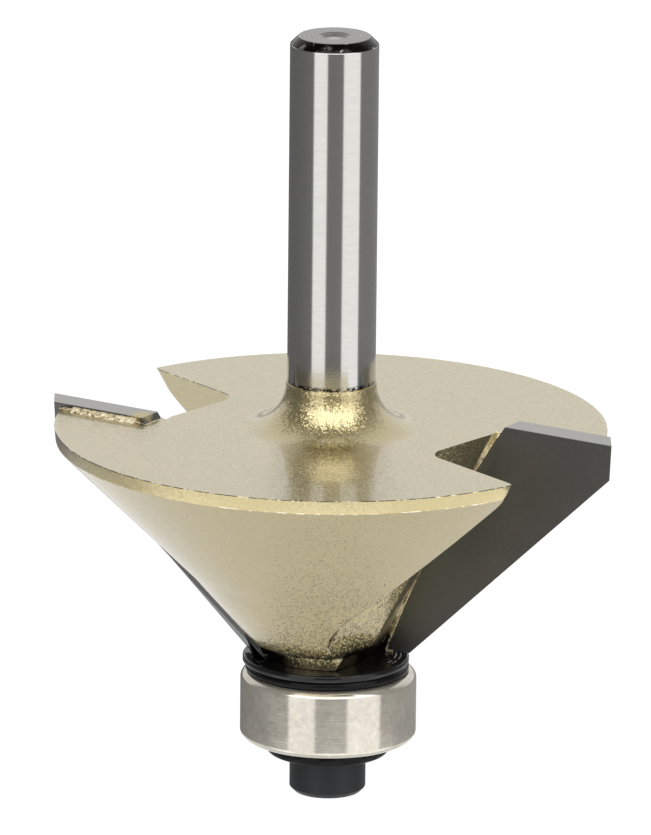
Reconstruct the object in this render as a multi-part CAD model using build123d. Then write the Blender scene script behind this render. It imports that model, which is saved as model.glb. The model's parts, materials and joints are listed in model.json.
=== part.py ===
from build123d import *

import os
from math import copysign, cos, radians, sin, sqrt, tan

# A 45 degree chamfer router bit that stands on the head of its pilot screw.
# Millimetres, +Z up along the spindle axis, origin under the screw head.

# Shank
shank_diameter = 6.35
shank_length = 25.4
shank_chamfer = 0.6
centre_hole_diameter = 2.2
centre_hole_angle = 120.0

# Cutter body: a disc over a steep cone, with a boss below and a neck above
body_diameter = 39.66
body_height = 15.8
rim_height = 1.0
rim_taper = 0.1
cone_angle = 45.0
throat_height = 5.2
throat_angle = 40.7
boss_diameter = 9.3
boss_height = 1.22
neck_diameter = 6.5
neck_height = 3.3

# Chip gullets: plan angles are measured from the right-hand tip's side
cutter_count = 2
gullet_root_distance = 10.05
gullet_root_azimuth = -46.6
gullet_root_radius = 1.8
gullet_front_direction = -52.2
gullet_nose_radius = 0.9
gullet_nose_overrun = 0.35
gullet_floor_direction = 49.3
gullet_floor_width = 7.1
gullet_ledge_direction = 71.0
gullet_ridge_radius = 1.6
gullet_lean = 27.9
gullet_lean_azimuth = 2.2

# Carbide tips
tip_overhang = 1.12
tip_face_direction = -32.1
tip_face_setback = 5.18
tip_lean = 8.5
tip_thickness = 2.0
tip_stand_up = 0.44
tip_land_height = 2.47
tip_end_clearance = 0.16
tip_top_width = 8.88
tip_end_width = 2.21
tip_inner_bow = 0.6
tip_flank_relief = 1.3
braze_thickness = 0.12
bead_width = 0.5
bead_height = 0.32
bead_end_gap = 0.5

# Pilot ball bearing, three sixteenths by one half inch
bearing_bore = 4.7625
bearing_diameter = 12.7
bearing_width = 4.978
bearing_chamfer = 0.36
inner_ring_diameter = 7.0
outer_ring_bore = 10.3
ball_diameter = 2.381
ball_count = 7
ball_sides = 6
ball_pitch_diameter = 8.73
race_conformity = 0.525
race_sides = 6
ball_clearance = 0.02
cage_wall = 0.98
cage_back = 0.26
cage_prong = 0.3
cage_ball_clearance = 0.1
shield_thickness = 0.2
shield_recess = 0.15
shield_gap = 0.1

# Spigot that carries the bearing
spigot_clearance = 0.012
spigot_short_of_washer = 0.3
spigot_chamfer = 0.25
screw_hole_extra = 1.5
drill_point_angle = 118.0

# Washers on the spigot
dust_shield_diameter = 12.0
dust_shield_thickness = 0.5
dust_shield_edge = 0.1
dust_shield_shift = 0.2
seal_washer_diameter = 11.8
seal_washer_thickness = 0.58
seal_washer_edge = 0.22
seal_washer_hub = 0.12
seal_washer_hub_diameter = 6.8
seal_washer_shift = 0.1
washer_bore_clearance = 0.25
retaining_washer_diameter = 8.8
retaining_washer_bore = 3.2
retaining_washer_thickness = 1.1
retaining_washer_edge = 0.1

# Cap screw
screw_diameter = 3.0
screw_length = 8.0
screw_head_diameter = 5.5
screw_head_height = 3.0
screw_head_edge = 0.35
screw_socket_flats = 2.5
screw_socket_depth = 1.5
screw_end_chamfer = 0.3
thread_clearance = 0.02

# Heights that follow from the stack, from the screw head up
z_washer = screw_head_height
z_bearing = z_washer + retaining_washer_thickness
z_bearing_top = z_bearing + bearing_width
z_seal = z_bearing_top + seal_washer_hub
z_dust_shield = z_seal + seal_washer_thickness
z_boss = z_dust_shield + dust_shield_thickness
z_cone = z_boss + boss_height
z_disc = z_cone + body_height
z_neck = z_disc + neck_height
z_shank = z_neck + shank_length
z_ball = z_bearing + bearing_width / 2
z_tip = z_disc + tip_stand_up
z_tip_end = z_boss + tip_end_clearance

cutting_diameter = body_diameter + 2 * tip_overhang
tip_height = z_tip - z_tip_end
beyond = 2 * body_diameter

spigot_radius = bearing_bore / 2 - spigot_clearance
washer_bore_radius = spigot_radius + washer_bore_clearance
pitch_radius = ball_pitch_diameter / 2
groove_radius = race_conformity * ball_diameter
groove_offset = ball_diameter / 2 + ball_clearance / 2 - groove_radius


def turned(*outline):
    """Solid of revolution about Z from a closed outline of radius and height."""
    return revolve(make_face(Plane.XZ * Polyline(*outline, close=True)), Axis.Z)


def direction(angle):
    """Unit vector in plan at an angle from +X."""
    return Vector(cos(radians(angle)), sin(radians(angle)), 0)


def height_vector(z):
    """Vector straight up to a height."""
    return Vector(0, 0, z)


def washer(inner, outer, sharp, rolled, edge):
    """Stamped ring between the heights of its sharp face and its rolled-over face."""
    rolled_start = rolled - copysign(edge, rolled - sharp)
    return turned(
        (inner, sharp),
        (outer, sharp),
        (outer, rolled_start),
        (outer - edge, rolled),
        (inner, rolled),
    )


# Plane of a tip's cutting face, leaning back with height
face_along = direction(tip_face_direction)
face_behind = direction(tip_face_direction + 90)
face_front = -cos(radians(tip_lean)) * face_behind + sin(radians(tip_lean)) * height_vector(1)
face_plane = Plane(
    origin=tip_face_setback * face_behind + height_vector(z_disc),
    x_dir=face_along,
    z_dir=face_front,
)


def on_face(reach, z):
    """Point of the face plane at a reach along it and a height."""
    return (reach, (z - z_disc) / cos(radians(tip_lean)))


def face_reach(radius, z):
    """Reach along the face plane where it meets a radius at a height."""
    setback = tip_face_setback + (z - z_disc) * tan(radians(tip_lean))
    return sqrt(radius**2 - setback**2)


# Where the tip's ends lie along the face plane
tip_end_radius = cutting_diameter / 2 - (tip_height - tip_land_height) * tan(radians(cone_angle))
tip_inner_reach_top = face_reach(cutting_diameter / 2, z_tip) - tip_top_width
tip_inner_reach_bottom = face_reach(tip_end_radius, z_tip_end) - tip_end_width


def turned_body():
    """Shank, neck, disc, cone, boss and spigot as turned, with the screw hole."""
    shank = shank_diameter / 2
    neck = neck_diameter / 2
    rim = body_diameter / 2
    z_rim = z_disc - rim_height
    z_throat = z_cone + throat_height
    throat = rim - rim_taper - (z_rim - z_throat) * tan(radians(cone_angle))
    cone_foot = throat - throat_height * tan(radians(throat_angle))
    boss = boss_diameter / 2
    z_spigot = z_bearing + spigot_short_of_washer
    hole = screw_diameter / 2
    z_hole = z_washer + screw_length + screw_hole_extra
    centre = centre_hole_diameter / 2
    z_centre = z_shank - centre / tan(radians(centre_hole_angle / 2))
    flare = TangentArc((neck, z_neck), (neck + neck_height, z_disc), tangent=(0, -1))
    above = Polyline(
        (0, z_centre),
        (centre, z_shank),
        (shank - shank_chamfer, z_shank),
        (shank, z_shank - shank_chamfer),
        (shank, z_neck),
        (neck, z_neck),
    )
    below = Polyline(
        (neck + neck_height, z_disc),
        (rim, z_disc),
        (rim - rim_taper, z_rim),
        (throat, z_throat),
        (cone_foot, z_cone),
        (boss, z_cone),
        (boss, z_boss),
        (spigot_radius, z_boss),
        (spigot_radius, z_spigot + spigot_chamfer),
        (spigot_radius - spigot_chamfer, z_spigot),
        (hole, z_spigot),
        (hole, z_hole),
        (0, z_hole + hole / tan(radians(drill_point_angle / 2))),
        (0, z_centre),
    )
    return revolve(make_face(Plane.XZ * (above + flare + below)), Axis.Z)


def gullet():
    """Space milled in front of a tip, from the disc down to the boss's foot."""
    front = direction(gullet_front_direction)
    root = gullet_root_distance * direction(gullet_root_azimuth)
    ridge = root + gullet_floor_width * direction(gullet_floor_direction)
    ledge_end = ridge + beyond * direction(gullet_ledge_direction)
    toward_rim = root.dot(front)
    front_width = sqrt((body_diameter / 2) ** 2 - gullet_root_distance**2 + toward_rim**2) - toward_rim
    nose = root + (front_width + gullet_nose_overrun) * front
    nose_side = nose + beyond * direction(gullet_front_direction - 90)
    side_end = nose_side + beyond * front
    ledge_side = ledge_end + beyond * front
    corners = (side_end, nose_side, nose, root, ridge, ledge_end, ledge_side)
    plan = make_face(Pos(0, 0, z_disc) * Polyline(*corners, close=True))
    for corner, radius in (
        (nose, gullet_nose_radius),
        (root, gullet_root_radius),
        (ridge, gullet_ridge_radius),
    ):
        place = corner + height_vector(z_disc)
        plan = fillet(plan.vertices().sort_by_distance(place)[0], radius)
    lean = radians(gullet_lean)
    path = sin(lean) * direction(gullet_lean_azimuth) + cos(lean) * height_vector(1)
    sweep = extrude(plan, amount=(z_disc - z_boss) / cos(lean), dir=-path)
    in_front = face_plane * Pos(0, 0, beyond / 2) * Box(beyond, beyond, beyond)
    return sweep & in_front


def tip_outline(relief, lift):
    """Outline of a tip in its face plane, with the ground edges set back by the relief."""
    z_corner = z_tip - tip_land_height
    outer = cutting_diameter / 2
    top_outer = Vector(*on_face(face_reach(outer, z_tip) - relief, z_tip)) + Vector(0, lift)
    corner = Vector(*on_face(face_reach(outer, z_corner) - relief, z_corner)) + Vector(0, lift)
    end_reach = face_reach(tip_end_radius, z_tip_end) - relief
    end = Vector(*on_face(end_reach, z_tip_end)) + Vector(0, lift)
    bottom = Vector(*on_face(tip_inner_reach_bottom, z_tip_end)) + Vector(0, lift)
    top = Vector(*on_face(tip_inner_reach_top, z_tip)) + Vector(0, lift)
    edges = Polyline(top, top_outer, corner, end, bottom)
    inner_edge = SagittaArc(bottom, top, tip_inner_bow)
    return make_face(edges + inner_edge)


def carbide_tip():
    """Brazed carbide plate: flat face, flanks ground back behind its edges."""
    lift = tip_thickness * tan(radians(tip_lean))
    front = face_plane * tip_outline(0, 0)
    rear = face_plane * Pos(0, 0, -tip_thickness) * tip_outline(tip_flank_relief, lift)
    return loft([front, rear], ruled=True)


def tip_seat():
    """Pocket behind the face plane that takes a tip and its braze."""
    inner_bottom = Vector(*on_face(tip_inner_reach_bottom - braze_thickness, z_tip_end))
    inner_top = Vector(*on_face(tip_inner_reach_top - braze_thickness, z_tip))
    low = Vector(*on_face(tip_inner_reach_bottom - braze_thickness, z_boss))
    low_outer = Vector(*on_face(body_diameter, z_boss))
    top_outer = Vector(*on_face(body_diameter, z_tip))
    edges = Polyline(inner_top, top_outer, low_outer, low, inner_bottom)
    inner_edge = SagittaArc(inner_bottom, inner_top, tip_inner_bow)
    outline = face_plane * make_face(edges + inner_edge)
    depth = tip_thickness / cos(radians(tip_lean)) + braze_thickness
    return extrude(outline, amount=depth, dir=face_behind)


def braze_bead():
    """Fillet of braze along the back of a tip, on the disc."""
    behind = tip_face_setback + tip_thickness / cos(radians(tip_lean))
    start = tip_inner_reach_top + bead_end_gap
    finish = face_reach(body_diameter / 2, z_disc) - tip_flank_relief - bead_end_gap
    across = Plane(
        origin=start * face_along + behind * face_behind + height_vector(z_disc),
        x_dir=face_behind,
        z_dir=face_along,
    )
    lean = bead_height * tan(radians(tip_lean))
    section = make_face(Polyline((0, 0), (bead_width, 0), (lean, bead_height), close=True))
    return extrude(across * section, amount=finish - start)


def repeated(shape, index):
    """Copy of a shape turned to one of the cutting sides."""
    return Rot(0, 0, 360 / cutter_count * index) * shape


def screw():
    """Socket head cap screw, head down."""
    head = screw_head_diameter / 2
    stem = screw_diameter / 2 - thread_clearance
    z_end = z_washer + screw_length
    body = turned(
        (0, 0),
        (head - screw_head_edge, 0),
        (head, screw_head_edge),
        (head, z_washer),
        (stem, z_washer),
        (stem, z_end - screw_end_chamfer),
        (stem - screw_end_chamfer, z_end),
        (0, z_end),
    )
    hexagon = RegularPolygon(screw_socket_flats / 2, 6, major_radius=False)
    return body - extrude(hexagon, amount=screw_socket_depth)


def race(centre_radius):
    """Ring that cuts a ball groove, its flats on the groove's circle."""
    flat_turn = 180 / race_sides
    section = RegularPolygon(groove_radius, race_sides, major_radius=False, rotation=flat_turn)
    return revolve(Pos(centre_radius, 0, z_ball) * Rot(90, 0, 0) * section, Axis.Z)


def inner_ring():
    """Bearing ring that is clamped on the spigot."""
    bore = bearing_bore / 2
    outer = inner_ring_diameter / 2
    ring = turned((bore, z_bearing), (outer, z_bearing), (outer, z_bearing_top), (bore, z_bearing_top))
    return ring - race(pitch_radius - groove_offset)


def outer_ring():
    """Bearing ring that rolls along the work, with the shields pressed into its bore."""
    bore = outer_ring_bore / 2
    outer = bearing_diameter / 2
    edge = bearing_chamfer
    ring = turned(
        (bore, z_bearing),
        (outer - edge, z_bearing),
        (outer, z_bearing + edge),
        (outer, z_bearing_top - edge),
        (outer - edge, z_bearing_top),
        (bore, z_bearing_top),
    )
    return ring - race(pitch_radius + groove_offset)


def bearing_shield(bottom):
    """Thin disc that closes the gap between the bearing rings."""
    inner = inner_ring_diameter / 2 + shield_gap
    outer = outer_ring_bore / 2
    return turned(
        (inner, bottom),
        (outer, bottom),
        (outer, bottom + shield_thickness),
        (inner, bottom + shield_thickness),
    )


def ball_place(index):
    """Centre of one ball."""
    return pitch_radius * direction(360 / ball_count * index) + height_vector(z_ball)


def ball():
    """Ball turned from a many-sided outline, light enough to repeat."""
    radius = ball_diameter / 2
    outline = RegularPolygon(radius, ball_sides, rotation=180 / ball_sides)
    half = outline & Pos(radius, 0) * Rectangle(2 * radius, 2 * ball_diameter)
    return revolve(Plane.XZ * half, Axis.Z)


def ball_cage():
    """Crown cage: a ring above the balls with a pocket over each."""
    pocket = ball_diameter / 2 + cage_ball_clearance
    inner = pitch_radius - cage_wall / 2
    outer = pitch_radius + cage_wall / 2
    bottom = z_ball - cage_prong
    top = z_ball + pocket + cage_back
    cage = turned((inner, bottom), (outer, bottom), (outer, top), (inner, top))
    for index in range(ball_count):
        turn = Rot(0, 0, 360 / ball_count * index)
        cage -= Pos(ball_place(index)) * turn * Box(ball_diameter, 2 * pocket, 2 * pocket)
    return cage


def seal_washer():
    """Washer over the bearing, with a low hub that clears the turning ring."""
    hub_radius = seal_washer_hub_diameter / 2
    plate = washer(
        washer_bore_radius,
        seal_washer_diameter / 2,
        z_seal,
        z_dust_shield,
        seal_washer_edge,
    )
    hub = turned(
        (washer_bore_radius, z_bearing_top),
        (hub_radius, z_bearing_top),
        (hub_radius, z_seal),
        (washer_bore_radius, z_seal),
    )
    return Pos(-seal_washer_shift, 0, 0) * (plate + hub)


def build_parts():
    """Every piece of the bit by its node name."""
    blank = turned_body()
    tip = carbide_tip()
    seat = tip_seat()
    chip_space = gullet()
    for index in range(cutter_count):
        blank -= repeated(chip_space, index)
    body = blank
    for index in range(cutter_count):
        body -= repeated(seat, index)
    braze = (seat & blank) - tip
    braze = braze + braze_bead()

    parts = {"cutter_body": body}
    for index in range(cutter_count):
        parts[f"carbide_tip_{index + 1}"] = repeated(tip, index)
        parts[f"braze_seam_{index + 1}"] = repeated(braze, index)
    parts["dust_shield"] = Pos(-dust_shield_shift, 0, 0) * washer(
        washer_bore_radius,
        dust_shield_diameter / 2,
        z_dust_shield,
        z_boss,
        dust_shield_edge,
    )
    parts["seal_washer"] = seal_washer()
    parts["bearing_outer_ring"] = outer_ring()
    parts["bearing_inner_ring"] = inner_ring()
    parts["bearing_shield_lower"] = bearing_shield(z_bearing + shield_recess)
    parts["bearing_shield_upper"] = bearing_shield(z_bearing_top - shield_recess - shield_thickness)
    parts["ball_cage"] = ball_cage()
    for index in range(ball_count):
        parts[f"bearing_ball_{index + 1}"] = Pos(ball_place(index)) * ball()
    parts["retaining_washer"] = washer(
        retaining_washer_bore / 2,
        retaining_washer_diameter / 2,
        z_bearing,
        z_washer,
        retaining_washer_edge,
    )
    parts["cap_screw"] = screw()
    return parts


os.makedirs("parts", exist_ok=True)
for name, shape in build_parts().items():
    export_step(shape, f"parts/{name}.step")
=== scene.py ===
import json
import math

import bpy
from mathutils import Euler, Matrix, Vector

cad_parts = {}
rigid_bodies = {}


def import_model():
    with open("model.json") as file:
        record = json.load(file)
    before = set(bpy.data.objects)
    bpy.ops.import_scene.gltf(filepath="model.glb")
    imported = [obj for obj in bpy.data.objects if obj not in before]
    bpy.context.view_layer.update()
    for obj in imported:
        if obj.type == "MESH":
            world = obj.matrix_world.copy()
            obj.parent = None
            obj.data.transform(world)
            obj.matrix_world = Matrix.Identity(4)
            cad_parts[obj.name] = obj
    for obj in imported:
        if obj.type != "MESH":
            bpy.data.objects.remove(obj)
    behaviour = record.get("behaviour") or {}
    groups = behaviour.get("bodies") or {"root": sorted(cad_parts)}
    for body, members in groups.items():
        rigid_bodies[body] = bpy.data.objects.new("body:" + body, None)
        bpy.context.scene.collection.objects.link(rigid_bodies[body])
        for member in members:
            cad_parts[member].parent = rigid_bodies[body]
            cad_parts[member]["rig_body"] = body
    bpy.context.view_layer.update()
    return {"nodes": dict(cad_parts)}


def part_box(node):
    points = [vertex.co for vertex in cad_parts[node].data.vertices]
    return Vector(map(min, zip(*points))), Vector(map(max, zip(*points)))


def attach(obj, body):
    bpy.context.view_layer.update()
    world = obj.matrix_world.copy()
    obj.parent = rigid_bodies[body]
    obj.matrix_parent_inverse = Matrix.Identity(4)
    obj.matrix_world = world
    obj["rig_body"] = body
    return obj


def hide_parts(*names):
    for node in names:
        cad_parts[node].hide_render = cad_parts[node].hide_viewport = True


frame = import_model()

bl_info = {
    "name": "Chamfer Router Bit",
    "version": (1, 0, 0),
    "blender": (4, 5, 0),
    "location": "View3D > Sidebar > Router Bit",
    "description": "Dresses the router bit with its finishes, braze and studio",
    "category": "Object",
}

MM = 0.001
BODY = "bit"

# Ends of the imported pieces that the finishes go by
BODY_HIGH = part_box("cutter_body")[1]
TIP_LOW, TIP_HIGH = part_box("carbide_tip_1")
SHIELD_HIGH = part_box("dust_shield")[1]


def points_of(node_name):
    """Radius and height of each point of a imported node."""
    vertices = frame["nodes"][node_name].data.vertices
    return [(math.hypot(v.co.x, v.co.y), v.co.z) for v in vertices]


def turned_sizes():
    """Disc top, disc radius, neck top, shank radius and foot of the cone."""
    points = points_of("cutter_body")
    disc_radius = max(radius for radius, z in points)
    disc_top = max(z for radius, z in points if radius > disc_radius - 0.3 * MM)
    shank = max(radius for radius, z in points if z > (disc_top + BODY_HIGH.z) / 2)
    neck_top = min(z for radius, z in points if z > disc_top + MM and radius < shank + 0.02 * MM)
    boss = max(radius for radius, z in points if z < SHIELD_HIGH.z + 0.05 * MM)
    foot = min(z for radius, z in points if radius > boss + 0.5 * MM)
    return disc_top, disc_radius, neck_top, shank, foot


DISC_TOP, DISC_RADIUS, NECK_TOP, SHANK_RADIUS, CONE_FOOT = turned_sizes()

# Plan direction of the first tip's face in degrees, the braze behind it, and the tip's inner corner
FACE_DIRECTION = -32.1
SEAM_SETBACK = 7.32 * MM
SEAM_START = 11.6 * MM
SEAM_END = 18.5 * MM
BEAD_RISE = 0.06 * MM
CORNER_ALONG = 11.9 * MM
CORNER_BEHIND = 6.6 * MM

# Spans round the axis, in degrees from the front toward the right
# ledges of the gullets whose edges get a painted highlight
LIT_LEDGES = ((45.0, 85.0), (-135.0, -95.0))
# sides of the boss that get painted shade
SHADED_SIDES = ((-142.0, -40.0), (32.0, 138.0))
# sides beside the boss where the washers get arcs of painted highlight
ARC_HIGHLIGHT_SIDES = ((62.0, 118.0), (-122.0, -66.0))

# Studio round the bit: spans to the side as above, spans of height in degrees from level, how much
# the dark bands brighten toward the right in a degree, and the floor's own light to the camera
PANEL_SIDES = ((-53.0, -17.0), (25.0, 72.0))
PANEL_HEIGHTS = (-45.0, 24.0)
BOX_SIDES = (-58.0, 68.0)
BOX_HEIGHTS = (24.0, 69.0)
FLOOR_SIDES = (-85.0, 95.0)
FLOOR_HEIGHTS = (-58.0, -20.0)
FRONT_SIDES = (-120.0, 120.0)
FRONT_HEIGHTS = (0.0, 100.0)
LEVEL_HEIGHTS = (-20.0, 3.0)
CEILING_HEIGHTS = (72.0, 100.0)
GAP_SLOPE = 0.0005
FLOOR_GLOW = 0.94

# Camera: its turns in degrees, its place, and the picture's shift and height in pixels
CAMERA_TURNS = (74.41477, -0.55303, 0.154248)
CAMERA_PLACE = (0.0, -749.17 * MM, 236.82 * MM)
PICTURE_SHIFT = -5.46
PICTURE_HEIGHT = 835.0

WHITE = (1.0, 1.0, 1.0, 1.0)
FLOOR_GREY = (0.14, 0.14, 0.14, 1.0)
SOOT = (0.01, 0.01, 0.01, 1.0)
# black of the painted shade under the cone
SHADE_BLACK = (0.012, 0.011, 0.01, 1.0)
# turned chamfer made near black, partly painted shade, and its painted glints
DARK_CHAMFER = (0.018, 0.016, 0.015, 1.0)
CHAMFER_GLINT = (0.30, 0.29, 0.28, 1.0)
# painted highlight in the shank's dimple
DIMPLE_HIGHLIGHT = (0.42, 0.41, 0.39, 1.0)
TURNED_STEEL = (0.62, 0.60, 0.57)
# painted highlight on the lacquer's edges, then the ragged dark line along them
EDGE_HIGHLIGHT = (0.80, 0.74, 0.56, 1.0)
EDGE_DARK_LINE = (0.03, 0.026, 0.016, 1.0)
CARBIDE_SPECK = (0.5, 0.5, 0.48, 1.0)
BRAZE_PIT = (0.20, 0.13, 0.07, 1.0)
BRAZE_LUMP = (0.90, 0.80, 0.60, 1.0)
BEARING_STAIN = (0.55, 0.50, 0.42, 1.0)
# painted highlight on the washers' arcs
OXIDE_ARC_HIGHLIGHT = (0.5, 0.5, 0.5, 1.0)


def face_directions(number):
    """Directions along a tip's face toward its edge, and behind the face."""
    turn = math.radians(FACE_DIRECTION + 180.0 * (number - 1))
    return Vector((math.cos(turn), math.sin(turn), 0.0)), Vector((-math.sin(turn), math.cos(turn), 0.0))


class RouterBitFinish(bpy.types.PropertyGroup):
    """Colours and surface values of the bit's finishes."""

    paint: bpy.props.FloatVectorProperty(
        name="Paint", description="Champagne lacquer on the cutter body",
        subtype="COLOR", size=3, min=0, max=1, default=(0.485, 0.408, 0.213))
    paint_roughness: bpy.props.FloatProperty(
        name="Paint roughness", description="Roughness of the flakes in the lacquer",
        subtype="FACTOR", min=0, max=1, default=0.3)
    flake_tilt: bpy.props.FloatProperty(
        name="Flake tilt", description="How far the flakes in the lacquer lean", min=0, default=0.34)
    steel: bpy.props.FloatVectorProperty(
        name="Ground steel", description="Shank above the paint line",
        subtype="COLOR", size=3, min=0, max=1, default=(0.52, 0.515, 0.495))
    # its warm tint is a painted reflection of the gold body
    bearing_steel: bpy.props.FloatVectorProperty(
        name="Bearing steel", description="Rings of the pilot bearing",
        subtype="COLOR", size=3, min=0, max=1, default=(0.60, 0.57, 0.495))
    carbide: bpy.props.FloatVectorProperty(
        name="Carbide", description="Faces of the brazed tips",
        subtype="COLOR", size=3, min=0, max=1, default=(0.086, 0.087, 0.085))
    carbide_ground: bpy.props.FloatVectorProperty(
        name="Ground carbide", description="Freshly ground lands of the tips",
        subtype="COLOR", size=3, min=0, max=1, default=(0.36, 0.35, 0.33))
    braze: bpy.props.FloatVectorProperty(
        name="Braze", description="Braze along the backs of the tips",
        subtype="COLOR", size=3, min=0, max=1, default=(0.68, 0.58, 0.37))
    shield_steel: bpy.props.FloatVectorProperty(
        name="Shield steel", description="Pressed shields of the pilot bearing",
        subtype="COLOR", size=3, min=0, max=1, default=(0.45, 0.44, 0.42))
    cage_steel: bpy.props.FloatVectorProperty(
        name="Cage steel", description="Pressed cage of the pilot bearing",
        subtype="COLOR", size=3, min=0, max=1, default=(0.5, 0.49, 0.46))
    oxide: bpy.props.FloatVectorProperty(
        name="Black oxide", description="Washers on the spigot",
        subtype="COLOR", size=3, min=0, max=1, default=(0.0045, 0.0045, 0.005))
    screw: bpy.props.FloatVectorProperty(
        name="Screw", description="Satin black pilot screw",
        subtype="COLOR", size=3, min=0, max=1, default=(0.0085, 0.009, 0.0105))


class RouterBitDetail(bpy.types.PropertyGroup):
    """Sizes of the small details that the scene adds."""

    paint_edge: bpy.props.FloatProperty(
        name="Painted edge", description="Round that the lacquer leaves on the body's edges",
        unit="LENGTH", min=0, default=0.055 * MM)
    tip_edge: bpy.props.FloatProperty(
        name="Tip edge", description="Honed round on the carbide's edges",
        unit="LENGTH", min=0, default=0.025 * MM)
    ring_edge: bpy.props.FloatProperty(
        name="Ring edge", description="Round on the bearing's corners",
        unit="LENGTH", min=0, default=0.16 * MM)
    washer_edge: bpy.props.FloatProperty(
        name="Washer edge", description="Round on the stamped washers",
        unit="LENGTH", min=0, default=0.05 * MM)
    screw_edge: bpy.props.FloatProperty(
        name="Screw edge", description="Round on the screw head's rim",
        unit="LENGTH", min=0, default=0.12 * MM)
    edge_grind: bpy.props.FloatProperty(
        name="Edge grind", description="How far the low end of a cutting edge is ground in",
        unit="LENGTH", min=0, default=0.3 * MM)
    flank_grind: bpy.props.FloatProperty(
        name="Flank grind", description="How far the low end of a flank is ground in behind the edge",
        unit="LENGTH", min=0, default=1.85 * MM)
    bead_radius: bpy.props.FloatProperty(
        name="Bead radius", description="Half width of the braze bead",
        unit="LENGTH", min=0, default=0.22 * MM)
    bead_grain: bpy.props.FloatProperty(
        name="Bead grain", description="Size of the lumps on the braze bead",
        unit="LENGTH", min=0, default=0.22 * MM)
    bead_lumps: bpy.props.FloatProperty(
        name="Bead lumps", description="How far the braze bead's surface wanders",
        unit="LENGTH", min=0, default=0.22 * MM)


class RouterBitStudio(bpy.types.PropertyGroup):
    """Camera, floor and light levels of the stage."""

    lens: bpy.props.FloatProperty(
        name="Lens", description="Focal length of the camera, in millimetres", min=1, default=468.1)
    floor: bpy.props.FloatProperty(
        name="Floor", description="Side of the plain floor", unit="LENGTH", min=0, default=6.0)
    panel_light: bpy.props.FloatProperty(
        name="Panels", description="Brightness of the two upright panels", min=0, default=1.45)
    room_light: bpy.props.FloatProperty(
        name="Room", description="Brightness of the room above and below", min=0, default=0.99)
    gap_light: bpy.props.FloatProperty(
        name="Gap", description="Brightness of the dark band between the panels", min=0, default=0.245)
    top_light: bpy.props.FloatProperty(
        name="Top light", description="Brightness of the soft box above the camera", min=0, default=2.9)
    low_light: bpy.props.FloatProperty(
        name="Low light", description="Brightness of the lit floor before the bit", min=0, default=1.85)


def node(tree, kind, inputs=None, **settings):
    """Adds one shader node with its settings, values and links."""
    made = tree.nodes.new("ShaderNode" + kind)
    for name, value in settings.items():
        setattr(made, name, value)
    for key, value in (inputs or {}).items():
        if isinstance(value, bpy.types.NodeSocket):
            tree.links.new(value, made.inputs[key])
        else:
            made.inputs[key].default_value = value
    return made


def calc(tree, operation, first, second=0.0, third=0.0, clamp=False):
    """One step of arithmetic on values."""
    inputs = {0: first, 1: second, 2: third}
    return node(tree, "Math", inputs, operation=operation, use_clamp=clamp).outputs[0]


def product(tree, first, *others):
    """Product of values."""
    for other in others:
        first = calc(tree, "MULTIPLY", first, other)
    return first


def rest(tree, share):
    """What a share leaves of 1."""
    return calc(tree, "SUBTRACT", 1.0, share)


def rise(tree, value, low, high):
    """Smooth step from 0 at low to 1 at high."""
    inputs = {"Value": value, "From Min": low, "From Max": high, "To Min": 0.0, "To Max": 1.0}
    return node(tree, "MapRange", inputs, interpolation_type="SMOOTHSTEP").outputs["Result"]


def band(tree, value, low, high, soft):
    """Mask that is 1 between low and high, with soft shoulders."""
    up = rise(tree, value, low - soft, low + soft)
    down = rise(tree, value, high + soft, high - soft)
    return product(tree, up, down)


def on_either(tree, value, spans, soft):
    """Mask that is 1 on either of two spans."""
    first, second = (band(tree, value, low, high, soft) for low, high in spans)
    return calc(tree, "ADD", first, second)


def noise(tree, place, scale, detail=2.0, roughness=0.5):
    """Noise value at a number of cells per metre."""
    inputs = {"Vector": place, "Scale": scale, "Detail": detail, "Roughness": roughness}
    return node(tree, "TexNoise", inputs).outputs["Fac"]


def streaks(tree, place, cells, detail):
    """Noise drawn out by its cells per metre along each axis."""
    drawn = node(tree, "VectorMath", {0: place, 1: cells}, operation="MULTIPLY").outputs[0]
    return noise(tree, drawn, 1.0, detail, 0.6)


def spread(tree, value, low, high):
    """Straight map of 0 to 1 onto low to high."""
    inputs = {"Value": value, "From Min": 0.0, "From Max": 1.0, "To Min": low, "To Max": high}
    return node(tree, "MapRange", inputs).outputs["Result"]


def mixed(tree, share, first, second):
    """Colour between two colours."""
    return node(tree, "Mix", {"Factor": share, "A": first, "B": second}, data_type="RGBA").outputs[2]


def tinted(tree, colour, tone):
    """A colour times a tone."""
    inputs = {"Factor": 1.0, "A": opaque(colour), "B": tone}
    return node(tree, "Mix", inputs, data_type="RGBA", blend_type="MULTIPLY").outputs[2]


def opaque(colour):
    """Colour with full alpha for a colour socket."""
    return (*colour, 1.0)


def new_material(name):
    """Empty node material with its tree, shader and Object coordinates."""
    material = bpy.data.materials.new(name)
    material.use_nodes = True
    tree = material.node_tree
    tree.nodes.clear()
    place = node(tree, "TexCoord").outputs["Object"]
    shader = node(tree, "BsdfPrincipled")
    output = node(tree, "OutputMaterial")
    tree.links.new(shader.outputs["BSDF"], output.inputs["Surface"])
    return material, tree, shader, place


def feed(tree, shader, **inputs):
    """Sets or links sockets of a shader by their names, with spaces as underscores."""
    for key, value in inputs.items():
        socket = shader.inputs[key.replace("_", " ")]
        if isinstance(value, bpy.types.NodeSocket):
            tree.links.new(value, socket)
        else:
            socket.default_value = value


def bumped(tree, height, distance, strength=1.0, after=None):
    """Normal that follows a height value."""
    inputs = {"Height": height, "Distance": distance, "Strength": strength}
    if after is not None:
        inputs["Normal"] = after
    return node(tree, "Bump", inputs).outputs["Normal"]


def off_axis(tree, place):
    """Distance from the bit's axis, and height."""
    x, y, z = node(tree, "SeparateXYZ", {"Vector": place}).outputs
    flat = node(tree, "CombineXYZ", {"X": x, "Y": y}).outputs[0]
    return node(tree, "VectorMath", {0: flat}, operation="LENGTH").outputs["Value"], z


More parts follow.
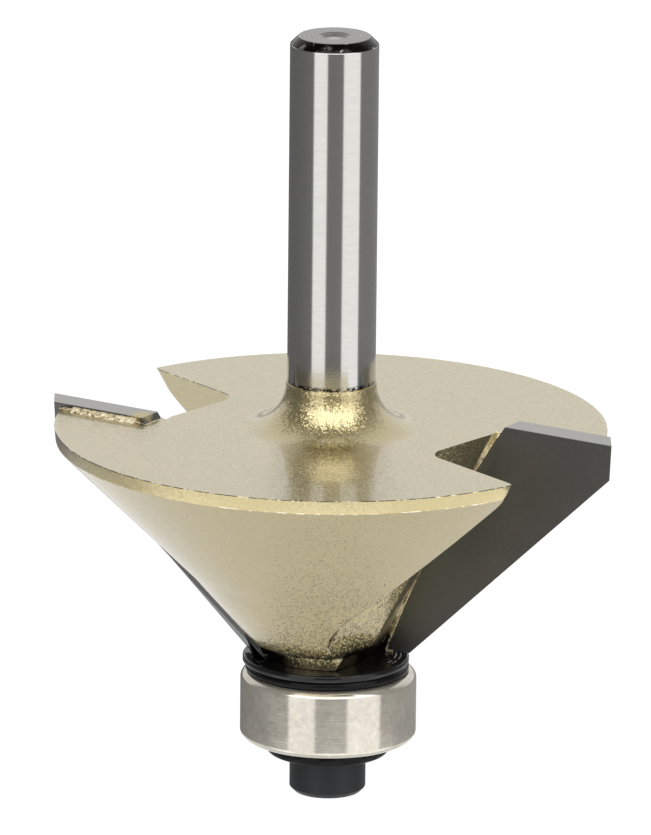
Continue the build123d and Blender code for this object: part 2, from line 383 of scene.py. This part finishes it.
def round_axis(tree, place):
    """Angle round the bit's axis in degrees, from the front toward the right."""
    x, y = node(tree, "SeparateXYZ", {"Vector": place}).outputs[:2]
    return product(tree, calc(tree, "ARCTAN2", x, product(tree, y, -1.0)), math.degrees(1.0))


def turned_end(tree, radius, z):
    """Mask, shade and height of the shank's turned end, with its rings and a pale centre that is a painted
    highlight.
    """
    rings = calc(tree, "SINE", product(tree, radius, 2 * math.pi / (0.30 * MM)))
    on_end = rise(tree, z, BODY_HIGH.z - 0.25 * MM, BODY_HIGH.z - 0.08 * MM)
    flat = rest(tree, rise(tree, radius, SHANK_RADIUS - 0.7 * MM, SHANK_RADIUS - 0.55 * MM))
    end = product(tree, on_end, flat)
    # painted highlight: the centre of the end is made pale
    centre = band(tree, radius, -0.5 * MM, 0.45 * MM, 0.3 * MM)
    shade = calc(tree, "ADD", calc(tree, "ADD", 0.26, product(tree, rings, 0.08)), centre)
    return end, shade, product(tree, rings, 0.35, end)


def ground_steel(tree, place, radius, z, finish):
    """Colour, height and metal share of the bare shank, with its chamfer, turned end and dimple; the
    chamfer's near black is partly painted shade and carries painted glints, and the dimple is a painted
    highlight.
    """
    lines = streaks(tree, place, (900.0, 900.0, 5200.0), 2.0)
    steel = tinted(tree, finish.steel, spread(tree, lines, 0.92, 1.06))
    end, shade, ring_height = turned_end(tree, radius, z)
    steel = mixed(tree, end, steel, tinted(tree, TURNED_STEEL, shade))
    # the turned chamfer is made near black, partly painted shade, with painted glints
    chamfer = product(tree, rise(tree, z, BODY_HIGH.z - 0.62 * MM, BODY_HIGH.z - 0.54 * MM), rest(tree, end))
    glints = rise(tree, noise(tree, place, 1700.0, 3.0, 0.6), 0.60, 0.66)
    steel = mixed(tree, chamfer, steel, mixed(tree, glints, DARK_CHAMFER, CHAMFER_GLINT))
    # painted highlight: the dimple is pale and not metal
    above_disc = rise(tree, z, DISC_TOP, BODY_HIGH.z - 2 * MM)
    dimple = product(tree, rise(tree, radius, 0.85 * MM, 0.5 * MM), above_disc)
    steel = mixed(tree, dimple, steel, DIMPLE_HIGHLIGHT)
    return steel, calc(tree, "ADD", ring_height, lines), rest(tree, dimple)


def edge_light_and_line(tree, place, radius, z, colour):
    """Colour of the lacquer's edges: a painted highlight along the gullets' ledges and in bright flecks, a
    ragged dark line elsewhere.
    """
    edge_noise = noise(tree, place, 1300.0, 3.0, 0.7)
    ledges = on_either(tree, round_axis(tree, place), LIT_LEDGES, 1.0)
    low_rim = product(tree, rise(tree, radius, DISC_RADIUS - 0.6 * MM, DISC_RADIUS - 0.4 * MM),
                      rise(tree, z, DISC_TOP - 0.4 * MM, DISC_TOP - 0.5 * MM))
    painted = rise(tree, z, NECK_TOP - 0.4 * MM, NECK_TOP - 0.5 * MM)
    # painted highlight along the ledges and in bright flecks
    bright = calc(tree, "MAXIMUM", rise(tree, edge_noise, 0.52, 0.62), ledges)
    off_ledges = rest(tree, product(tree, ledges, 0.75))
    dark = product(tree, rise(tree, edge_noise, 0.56, 0.46), rest(tree, low_rim), off_ledges)
    colour = mixed(tree, product(tree, bright, painted), colour, EDGE_HIGHLIGHT)
    return mixed(tree, product(tree, dark, painted), colour, EDGE_DARK_LINE)


def foot_shade(tree, place, z):
    """Mask of the painted shade at the cone's foot and on the sides of the boss, where shade falls under the
    cone.
    """
    height = calc(tree, "ADD", z, product(tree, noise(tree, place, 1500.0, 4.0, 0.65), 0.7 * MM))
    foot = band(tree, height, CONE_FOOT - 0.05 * MM, CONE_FOOT + 0.42 * MM, 0.12 * MM)
    sides = on_either(tree, round_axis(tree, place), SHADED_SIDES, 6.0)
    low = rise(tree, height, CONE_FOOT + 0.2 * MM, CONE_FOOT)
    return calc(tree, "MAXIMUM", foot, product(tree, sides, low))


def soot_line(tree, place, above):
    """Mask of the ragged black line on the steel just above the lacquer."""
    line = rest(tree, rise(tree, above, 0.05 * MM, 0.09 * MM))
    fringe = rest(tree, rise(tree, above, 0.10 * MM, 0.36 * MM))
    ragged = rise(tree, noise(tree, place, 2300.0, 3.0, 0.7), 0.46, 0.51)
    return calc(tree, "MAXIMUM", line, product(tree, fringe, ragged))


def flaked_lacquer(tree, place, grain, flakes, finish):
    """Colour of the champagne lacquer, mottled by its grain and its flakes."""
    sparkle = node(tree, "SeparateColor", {"Color": flakes}).outputs[0]
    cloud = noise(tree, place, 260.0, 2.0, 0.5)
    tone = calc(tree, "ADD", spread(tree, grain, 0.92, 1.06), spread(tree, cloud, -0.035, 0.035))
    return tinted(tree, finish.paint, product(tree, tone, spread(tree, sparkle, 0.95, 1.05)))


def flake_normal(tree, radius, grain, flakes, finish):
    """Normal that leans from flake to flake, and less on the rim's land."""
    rim = rise(tree, radius, DISC_RADIUS - 0.3 * MM, DISC_RADIUS - 0.15 * MM)
    lean = product(tree, finish.flake_tilt, rest(tree, product(tree, rim, 0.7)))
    tilt = node(tree, "VectorMath", {0: flakes, 1: (0.5, 0.5, 0.5)}, operation="SUBTRACT").outputs[0]
    tilt = node(tree, "VectorMath", {0: tilt, "Scale": lean}, operation="SCALE").outputs[0]
    shaded = node(tree, "NewGeometry").outputs["Normal"]
    leaning = node(tree, "VectorMath", {0: shaded, 1: tilt}, operation="ADD").outputs[0]
    leaning = node(tree, "VectorMath", {0: leaning}, operation="NORMALIZE").outputs[0]
    return bumped(tree, grain, 0.03 * MM, 0.12, leaning)


def painted_material(finish, name, lit_edges=False):
    """Champagne flake lacquer that ends in a ragged line on the ground shank."""
    material, tree, shader, place = new_material(name)
    radius, z = off_axis(tree, place)
    wander = product(tree, noise(tree, place, 2600.0, 3.0, 0.7), 0.25 * MM)
    above = calc(tree, "SUBTRACT", z, calc(tree, "ADD", NECK_TOP - 0.10 * MM, wander))
    bare = rise(tree, above, 0.0, 0.03 * MM)

    grain = noise(tree, place, 5200.0, 2.0, 0.6)
    flakes = node(tree, "TexVoronoi", {"Vector": place, "Scale": 11500.0}).outputs["Color"]
    # painted shade: the lacquer turns black at the cone's foot and on the boss's sides
    shade_share = foot_shade(tree, place, z)
    lacquer = flaked_lacquer(tree, place, grain, flakes, finish)
    lacquer = mixed(tree, product(tree, shade_share, 0.93), lacquer, SHADE_BLACK)
    steel, steel_height, metal = ground_steel(tree, place, radius, z, finish)
    steel = mixed(tree, soot_line(tree, place, above), steel, SOOT)
    colour = mixed(tree, bare, lacquer, steel)
    # the edges get a painted highlight and a ragged dark line
    if lit_edges:
        colour = edge_light_and_line(tree, place, radius, z, colour)

    rough = calc(tree, "ADD", product(tree, bare, 0.12 - finish.paint_roughness), finish.paint_roughness)
    lacquer_normal = flake_normal(tree, radius, grain, flakes, finish)
    steel_normal = bumped(tree, steel_height, 0.004 * MM, 0.5)
    normal = node(tree, "Mix", {"Factor": bare, "A": lacquer_normal, "B": steel_normal}, data_type="VECTOR")
    # no coat on the bare steel nor in the painted shade
    coated = rest(tree, calc(tree, "MAXIMUM", bare, shade_share))
    feed(tree, shader, Base_Color=colour, Metallic=metal, Roughness=rough,
         Coat_Weight=product(tree, coated, 0.85), Coat_Roughness=0.1, Normal=normal.outputs[1])
    return material


def carbide_material(finish):
    """Dark satin carbide with pale ground lands on top, and stray lacquer on the second tip's corner."""
    material, tree, shader, place = new_material("tungsten_carbide")
    up = node(tree, "SeparateXYZ", {"Vector": node(tree, "NewGeometry").outputs["True Normal"]}).outputs[2]
    land = rise(tree, up, 0.6, 0.8)
    grain = noise(tree, place, 4200.0, 3.0, 0.65)
    cloud = noise(tree, place, 420.0, 3.0, 0.6)
    tone = product(tree, spread(tree, grain, 0.86, 1.14), spread(tree, cloud, 0.9, 1.1))
    face = tinted(tree, finish.carbide, tone)
    specks = rise(tree, noise(tree, place, 1900.0, 1.0, 0.4), 0.80, 0.84)
    face = mixed(tree, product(tree, specks, 0.3), face, CARBIDE_SPECK)
    colour = mixed(tree, land, face, opaque(finish.carbide_ground))
    along, behind = face_directions(2)
    corner = CORNER_ALONG * along + CORNER_BEHIND * behind + Vector((0.0, 0.0, TIP_HIGH.z))
    away = node(tree, "VectorMath", {0: place, 1: corner}, operation="DISTANCE").outputs["Value"]
    stray = product(tree, noise(tree, place, 1500.0, 3.0, 0.6), 0.9 * MM)
    sprayed = rise(tree, calc(tree, "ADD", away, stray), 1.45 * MM, 0.85 * MM)
    colour = mixed(tree, sprayed, colour, opaque(finish.paint))
    feed(tree, shader, Base_Color=colour, Metallic=0.75, Roughness=spread(tree, grain, 0.36, 0.46),
         Normal=bumped(tree, grain, 0.008 * MM, 0.3))
    return material


def braze_material(finish):
    """Rough braze: pale gold with brown flux pits and bright lumps."""
    material, tree, shader, place = new_material("silver_braze")
    lumps = noise(tree, place, 3300.0, 3.0, 0.7)
    pits = rise(tree, lumps, 0.40, 0.52)
    bright = rise(tree, noise(tree, place, 3100.0, 2.0, 0.6), 0.5, 0.62)
    colour = mixed(tree, pits, BRAZE_PIT, opaque(finish.braze))
    colour = mixed(tree, bright, colour, BRAZE_LUMP)
    feed(tree, shader, Base_Color=colour, Metallic=0.4, Roughness=spread(tree, lumps, 0.3, 0.5),
         Normal=bumped(tree, lumps, 0.05 * MM, 0.6))
    return material


def bearing_material(finish):
    """Ground bearing steel with faint stains and fine marks round it."""
    material, tree, shader, place = new_material("bearing_steel")
    stains = noise(tree, place, 420.0, 4.0, 0.7)
    specks = noise(tree, place, 2600.0, 2.0, 0.7)
    tone = product(tree, spread(tree, stains, 0.68, 1.22), spread(tree, specks, 0.80, 1.16))
    brown = rise(tree, noise(tree, place, 700.0, 2.0, 0.6), 0.55, 0.75)
    # the steel's warm tint is a painted reflection of the gold body
    colour = mixed(tree, brown, tinted(tree, finish.bearing_steel, tone), BEARING_STAIN)
    lines = streaks(tree, place, (300.0, 300.0, 7000.0), 2.0)
    feed(tree, shader, Base_Color=colour, Metallic=0.74, Roughness=spread(tree, stains, 0.09, 0.17),
         Normal=bumped(tree, lines, 0.004 * MM, 0.5))
    return material


def pressed_material(name, colour):
    """Pressed steel of the bearing's shields and cage."""
    material, tree, shader, place = new_material(name)
    grain = noise(tree, place, 2200.0, 3.0, 0.6)
    feed(tree, shader, Base_Color=tinted(tree, colour, spread(tree, grain, 0.85, 1.1)), Metallic=1.0,
         Roughness=spread(tree, grain, 0.25, 0.38), Normal=bumped(tree, grain, 0.01 * MM, 0.3))
    return material


def oxide_material(finish, name, gloss):
    """Black oxide with turned rings, and arcs of painted highlight beside the boss."""
    material, tree, shader, place = new_material(name)
    radius = off_axis(tree, place)[0]
    rings = calc(tree, "SINE", product(tree, radius, 2 * math.pi / (0.33 * MM)))
    dents = noise(tree, place, 700.0, 2.0, 0.5)
    sides = on_either(tree, round_axis(tree, place), ARC_HIGHLIGHT_SIDES, 4.0)
    arcs = calc(tree, "ADD", band(tree, radius, 4.85 * MM, 4.92 * MM, 0.05 * MM),
                band(tree, radius, 5.2 * MM, 5.26 * MM, 0.04 * MM))
    # painted highlight: grey arcs on the washers beside the boss
    arc_highlight = product(tree, sides, arcs, rise(tree, dents, 0.42, 0.5))
    height = calc(tree, "ADD", product(tree, rings, 0.12), dents)
    feed(tree, shader, Base_Color=mixed(tree, arc_highlight, opaque(finish.oxide), OXIDE_ARC_HIGHLIGHT), Metallic=0.0,
         Roughness=spread(tree, noise(tree, place, 900.0, 3.0, 0.6), 0.10, 0.22),
         Specular_IOR_Level=gloss, Normal=bumped(tree, height, 0.08 * MM, 0.9))
    return material


def screw_material(finish):
    """Satin black steel with faint upright marks."""
    material, tree, shader, place = new_material("satin_black")
    lines = streaks(tree, place, (4200.0, 4200.0, 500.0), 3.0)
    feed(tree, shader, Base_Color=tinted(tree, finish.screw, spread(tree, lines, 0.7, 1.4)), Metallic=0.0,
         Roughness=spread(tree, lines, 0.36, 0.5), Specular_IOR_Level=0.28,
         Normal=bumped(tree, lines, 0.01 * MM, 0.4))
    return material


def only(piece):
    """Leaves one piece selected and active."""
    bpy.ops.object.select_all(action="DESELECT")
    piece.select_set(True)
    bpy.context.view_layer.objects.active = piece


def coat(piece, material):
    """Gives a piece one material."""
    piece.data.materials.clear()
    piece.data.materials.append(material)


def dress(node_name, material):
    """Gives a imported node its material, and leaves its mesh alone."""
    piece = frame["nodes"][node_name]
    coat(piece, material)
    return piece


def merged_copy(node_name, piece_name, merge=0.002 * MM):
    """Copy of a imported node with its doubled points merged, in the node's place."""
    source = frame["nodes"][node_name]
    piece = bpy.data.objects.new(piece_name, source.data.copy())
    bpy.context.scene.collection.objects.link(piece)
    only(piece)
    if piece.data.has_custom_normals:
        bpy.ops.mesh.customdata_custom_splitnormals_clear()
    bpy.ops.object.mode_set(mode="EDIT")
    bpy.ops.mesh.select_all(action="SELECT")
    bpy.ops.mesh.remove_doubles(threshold=merge)
    bpy.ops.mesh.dissolve_limited(angle_limit=math.radians(0.6))
    bpy.ops.object.mode_set(mode="OBJECT")
    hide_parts(node_name)
    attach(piece, source["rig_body"])
    return piece


def apply(piece, modifier):
    """Applies a modifier that has just been set up."""
    only(piece)
    bpy.ops.object.modifier_apply(modifier=modifier.name)


def round_edges(piece, width, segments=2, edge_material=-1, clamp=True):
    """Rounds the sharp edges of a copy and keeps its broad faces flat."""
    edge = piece.modifiers.new("edge_round", "BEVEL")
    edge.width = width
    edge.segments = segments
    edge.limit_method = "ANGLE"
    edge.angle_limit = math.radians(24.0)
    edge.use_clamp_overlap = clamp
    edge.miter_outer = "MITER_SHARP"
    edge.material = edge_material
    apply(piece, edge)
    bpy.ops.object.shade_smooth_by_angle(angle=math.radians(32.0))
    weighted = piece.modifiers.new("face_weight", "WEIGHTED_NORMAL")
    weighted.keep_sharp = True
    apply(piece, weighted)


def rounded_copy(node_name, piece_name, width, segments=2):
    """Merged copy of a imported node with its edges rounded."""
    piece = merged_copy(node_name, piece_name)
    round_edges(piece, width, segments)
    return piece


def pick_point(piece, number):
    """Enters edit mode with only one point selected."""
    only(piece)
    bpy.ops.object.mode_set(mode="EDIT")
    bpy.ops.mesh.select_mode(type="VERT")
    bpy.ops.mesh.select_all(action="DESELECT")
    bpy.ops.object.mode_set(mode="OBJECT")
    piece.data.vertices[number].select = True
    bpy.ops.object.mode_set(mode="EDIT")


class ROUTERBIT_OT_cutter_body(bpy.types.Operator):
    """Paint the cutter body and round its lacquered edges"""

    bl_idname = "router_bit.cutter_body"
    bl_label = "Cutter Body"

    def execute(self, context):
        finish = context.scene.router_bit_finish
        detail = context.scene.router_bit_detail
        piece = merged_copy("cutter_body", "painted_body", merge=0.05 * MM)
        coat(piece, painted_material(finish, "champagne_lacquer"))
        # second slot for the edges, with their painted highlight and dark line
        piece.data.materials.append(painted_material(finish, "lacquer_edge_light", lit_edges=True))
        round_edges(piece, detail.paint_edge, edge_material=1, clamp=False)
        return {"FINISHED"}


def grind_flank(piece, along, edge_grind, flank_grind):
    """Grinds the low end of a tip in, and further in behind its cutting edge."""
    low_end = [vertex for vertex in piece.data.vertices if vertex.co.z < TIP_LOW.z + 0.1 * MM]
    rear, front = sorted(low_end, key=lambda vertex: vertex.co.dot(along))[-2:]
    for number, grind in ((front.index, edge_grind), (rear.index, flank_grind)):
        pick_point(piece, number)
        bpy.ops.transform.translate(value=-grind * along)
        bpy.ops.object.mode_set(mode="OBJECT")


class ROUTERBIT_OT_carbide_tips(bpy.types.Operator):
    """Grind the flanks of the two carbide tips and hone their edges"""

    bl_idname = "router_bit.carbide_tips"
    bl_label = "Carbide Tips"

    def execute(self, context):
        detail = context.scene.router_bit_detail
        material = carbide_material(context.scene.router_bit_finish)
        for number in (1, 2):
            piece = merged_copy(f"carbide_tip_{number}", f"honed_tip_{number}")
            grind_flank(piece, face_directions(number)[0], detail.edge_grind, detail.flank_grind)
            round_edges(piece, detail.tip_edge, 1)
            coat(piece, material)
        return {"FINISHED"}


def braze_bead(name, start, end, detail):
    """Uneven bead of braze laid from one place to another."""
    run = end - start
    bpy.ops.object.select_all(action="DESELECT")
    bpy.ops.mesh.primitive_uv_sphere_add(
        segments=16, ring_count=48, radius=1.0, location=(start + end) / 2,
        rotation=run.to_track_quat("Z", "Y").to_euler(),
        scale=(detail.bead_radius, detail.bead_radius, run.length / 2))
    piece = bpy.context.active_object
    piece.name = name
    bpy.ops.object.transform_apply(location=True, rotation=True, scale=True)
    texture = bpy.data.textures.new(name, "CLOUDS")
    texture.noise_scale = detail.bead_grain
    uneven = piece.modifiers.new("uneven", "DISPLACE")
    uneven.texture = texture
    uneven.texture_coords = "LOCAL"
    uneven.strength = detail.bead_lumps
    apply(piece, uneven)
    bpy.ops.object.shade_smooth()
    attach(piece, BODY)
    return piece


class ROUTERBIT_OT_braze(bpy.types.Operator):
    """Lay the uneven braze behind the tips"""

    bl_idname = "router_bit.braze"
    bl_label = "Braze"

    def execute(self, context):
        detail = context.scene.router_bit_detail
        material = braze_material(context.scene.router_bit_finish)
        rise_on_disc = Vector((0.0, 0.0, DISC_TOP + BEAD_RISE))
        for number in (1, 2):
            dress(f"braze_seam_{number}", material)
            along, behind = face_directions(number)
            start = SEAM_START * along + SEAM_SETBACK * behind + rise_on_disc
            end = SEAM_END * along + SEAM_SETBACK * behind + rise_on_disc
            coat(braze_bead(f"braze_bead_{number}", start, end, detail), material)
        return {"FINISHED"}


class ROUTERBIT_OT_pilot_bearing(bpy.types.Operator):
    """Finish the rings, shields, cage and balls of the pilot bearing"""

    bl_idname = "router_bit.pilot_bearing"
    bl_label = "Pilot Bearing"

    def execute(self, context):
        finish = context.scene.router_bit_finish
        detail = context.scene.router_bit_detail
        steel = bearing_material(finish)
        ring = rounded_copy("bearing_outer_ring", "ground_outer_ring", detail.ring_edge)
        coat(ring, steel)
        dress("bearing_inner_ring", steel)
        shields = pressed_material("shield_steel", finish.shield_steel)
        dress("bearing_shield_lower", shields)
        dress("bearing_shield_upper", shields)
        dress("ball_cage", pressed_material("cage_steel", finish.cage_steel))
        for name in sorted(frame["nodes"]):
            if name.startswith("bearing_ball_"):
                dress(name, steel)
        return {"FINISHED"}


class ROUTERBIT_OT_washers(bpy.types.Operator):
    """Finish the black washers on the spigot"""

    bl_idname = "router_bit.washers"
    bl_label = "Washers"

    def execute(self, context):
        finish = context.scene.router_bit_finish
        detail = context.scene.router_bit_detail
        glossy = oxide_material(finish, "black_oxide", gloss=0.34)
        dull = oxide_material(finish, "dull_oxide", gloss=0.12)
        for source, material in (("dust_shield", glossy), ("seal_washer", dull), ("retaining_washer", dull)):
            piece = rounded_copy(source, "stamped_" + source, detail.washer_edge)
            coat(piece, material)
        return {"FINISHED"}


class ROUTERBIT_OT_cap_screw(bpy.types.Operator):
    """Round and blacken the pilot screw"""

    bl_idname = "router_bit.cap_screw"
    bl_label = "Cap Screw"

    def execute(self, context):
        scene = context.scene
        piece = rounded_copy("cap_screw", "rounded_screw", scene.router_bit_detail.screw_edge, segments=3)
        coat(piece, screw_material(scene.router_bit_finish))
        return {"FINISHED"}


def over(tree, below, mask, level):
    """Brightness laid over another through a mask."""
    return node(tree, "Mix", {"Factor": mask, "A": below, "B": level}, data_type="FLOAT").outputs[0]


def patch(tree, around, aloft, sides, heights, soft):
    """Mask of a soft-edged patch of the studio, by its angles round and up."""
    return product(tree, band(tree, around, *sides, soft[0]), band(tree, aloft, *heights, soft[1]))


def studio_world(studio):
    """World that holds the studio: two upright panels, a soft box, a lit floor and dark bands between."""
    world = bpy.data.worlds.new("studio")
    world.use_nodes = True
    tree = world.node_tree
    tree.nodes.clear()
    sight = node(tree, "TexCoord").outputs["Generated"]
    around = round_axis(tree, sight)
    aloft = calc(tree, "ARCSINE", node(tree, "SeparateXYZ", {"Vector": sight}).outputs[2])
    aloft = product(tree, aloft, math.degrees(1.0))

    gap = calc(tree, "ADD", studio.gap_light, product(tree, around, GAP_SLOPE))
    level = over(tree, 0.9 * studio.room_light, rise(tree, aloft, -60.0, 0.0), studio.room_light)
    level = over(tree, level, band(tree, aloft, *LEVEL_HEIGHTS, 2.5), gap)
    level = over(tree, level, patch(tree, around, aloft, FRONT_SIDES, FRONT_HEIGHTS, (12.0, 4.0)), gap)
    level = over(tree, level, band(tree, aloft, *CEILING_HEIGHTS, 5.0), studio.gap_light)
    lit_floor = patch(tree, around, aloft, FLOOR_SIDES, FLOOR_HEIGHTS, (8.0, 2.5))
    level = over(tree, level, lit_floor, studio.low_light)
    for sides in PANEL_SIDES:
        panel = patch(tree, around, aloft, sides, PANEL_HEIGHTS, (1.5, 4.0))
        level = over(tree, level, panel, studio.panel_light)
    soft_box = patch(tree, around, aloft, BOX_SIDES, BOX_HEIGHTS, (4.0, 4.0))
    level = over(tree, level, soft_box, studio.top_light)

    camera_ray = node(tree, "LightPath").outputs["Is Camera Ray"]
    background = node(tree, "Background", {"Color": WHITE, "Strength": over(tree, level, camera_ray, 1.0)})
    output = node(tree, "OutputWorld")
    tree.links.new(background.outputs[0], output.inputs["Surface"])
    return world


def floor_material():
    """White floor that shows to the camera with a faint shadow."""
    material = bpy.data.materials.new("white_floor")
    material.use_nodes = True
    tree = material.node_tree
    tree.nodes.clear()
    camera_ray = node(tree, "LightPath").outputs["Is Camera Ray"]
    glow = node(tree, "Emission", {"Color": WHITE, "Strength": product(tree, camera_ray, FLOOR_GLOW)})
    matt = node(tree, "BsdfDiffuse", {"Color": FLOOR_GREY})
    both = node(tree, "AddShader", {0: glow.outputs[0], 1: matt.outputs[0]})
    output = node(tree, "OutputMaterial")
    tree.links.new(both.outputs[0], output.inputs["Surface"])
    return material


class ROUTERBIT_OT_stage(bpy.types.Operator):
    """Set up the floor, the studio light and the camera"""

    bl_idname = "router_bit.stage"
    bl_label = "Stage"

    def execute(self, context):
        studio = context.scene.router_bit_studio
        bpy.ops.object.select_all(action="DESELECT")
        bpy.ops.mesh.primitive_plane_add(size=studio.floor, location=(0.0, 0.0, 0.0))
        floor = context.active_object
        floor.name = "floor"
        floor.data.materials.append(floor_material())
        floor.visible_glossy = False
        floor.visible_diffuse = False
        floor.visible_transmission = False
        floor.visible_shadow = False

        context.scene.world = studio_world(studio)
        context.scene.view_settings.view_transform = "Standard"

        camera = bpy.data.objects.new("camera", bpy.data.cameras.new("camera"))
        context.scene.collection.objects.link(camera)
        turns = Euler([math.radians(turn) for turn in CAMERA_TURNS])
        camera.matrix_world = Matrix.LocRotScale(Vector(CAMERA_PLACE), turns, None)
        camera.data.sensor_fit = "AUTO"
        camera.data.sensor_width = 36.0
        camera.data.lens = studio.lens
        camera.data.shift_x = PICTURE_SHIFT / PICTURE_HEIGHT
        camera.data.clip_start = 10.0 * MM
        camera.data.clip_end = 20.0
        context.scene.camera = camera
        return {"FINISHED"}


STEPS = (
    ROUTERBIT_OT_cutter_body,
    ROUTERBIT_OT_carbide_tips,
    ROUTERBIT_OT_braze,
    ROUTERBIT_OT_pilot_bearing,
    ROUTERBIT_OT_washers,
    ROUTERBIT_OT_cap_screw,
    ROUTERBIT_OT_stage,
)


class ROUTERBIT_PT_sidebar(bpy.types.Panel):
    """Panel with the bit's values and its steps in order"""

    bl_idname = "ROUTERBIT_PT_sidebar"
    bl_label = "Router Bit"
    bl_space_type = "VIEW_3D"
    bl_region_type = "UI"
    bl_category = "Router Bit"

    def draw(self, context):
        for group_name in GROUPS:
            group = getattr(context.scene, group_name)
            box = self.layout.box()
            for name in group.bl_rna.properties.keys():
                if name not in ("rna_type", "name"):
                    box.prop(group, name)
        for step in STEPS:
            self.layout.operator(step.bl_idname)


GROUPS = {
    "router_bit_finish": RouterBitFinish,
    "router_bit_detail": RouterBitDetail,
    "router_bit_studio": RouterBitStudio,
}


def register():
    """Registers the value groups, the steps and the panel."""
    for name, group in GROUPS.items():
        bpy.utils.register_class(group)
        setattr(bpy.types.Scene, name, bpy.props.PointerProperty(type=group))
    for step in STEPS:
        bpy.utils.register_class(step)
    bpy.utils.register_class(ROUTERBIT_PT_sidebar)


def unregister():
    """Takes away all that register adds."""
    bpy.utils.unregister_class(ROUTERBIT_PT_sidebar)
    for step in reversed(STEPS):
        bpy.utils.unregister_class(step)
    for name, group in GROUPS.items():
        delattr(bpy.types.Scene, name)
        bpy.utils.unregister_class(group)


def main():
    """Dresses the bit step by step."""
    register()
    bpy.ops.router_bit.cutter_body()
    bpy.ops.router_bit.carbide_tips()
    bpy.ops.router_bit.braze()
    bpy.ops.router_bit.pilot_bearing()
    bpy.ops.router_bit.washers()
    bpy.ops.router_bit.cap_screw()
    bpy.ops.router_bit.stage()


if __name__ == "__main__":
    main()
